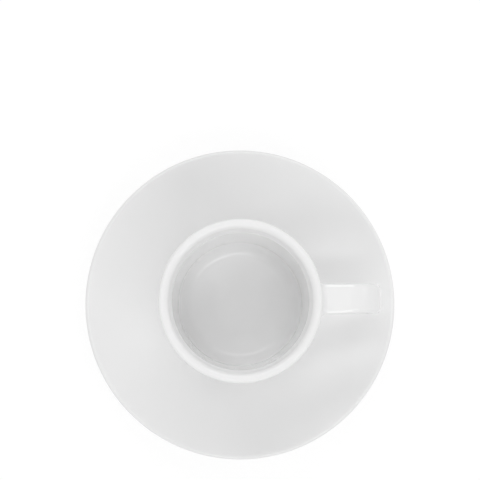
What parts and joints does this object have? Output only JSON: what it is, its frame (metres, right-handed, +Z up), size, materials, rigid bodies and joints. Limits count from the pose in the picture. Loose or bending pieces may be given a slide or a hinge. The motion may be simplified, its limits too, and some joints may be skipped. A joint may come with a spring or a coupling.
{
  "type": "espresso cup and saucer",
  "caption": "Porcelain espresso cup with a lightly tapered round wall and a strap handle, standing loose in the well of a round saucer.",
  "frame": {"origin": "on the saucer's axis, on the plane that its foot ring stands on", "axes": "+Z up along the common axis of saucer and cup, +X towards the handle"},
  "size_m": [0.12, 0.12, 0.06],
  "materials": {
    "glazed_porcelain": "clear glossy glaze on white porcelain"
  },
  "bodies": {
    "saucer": {"saucer": "glazed_porcelain"},
    "cup": {"cup_body": "glazed_porcelain", "cup_handle": "glazed_porcelain"}
  },
  "joints": [
    {"name": "cup_lift", "type": "slide", "parent": "saucer", "child": "cup", "axis": [0, 0, 1], "range_m": [0, 0.12]}
  ]
}
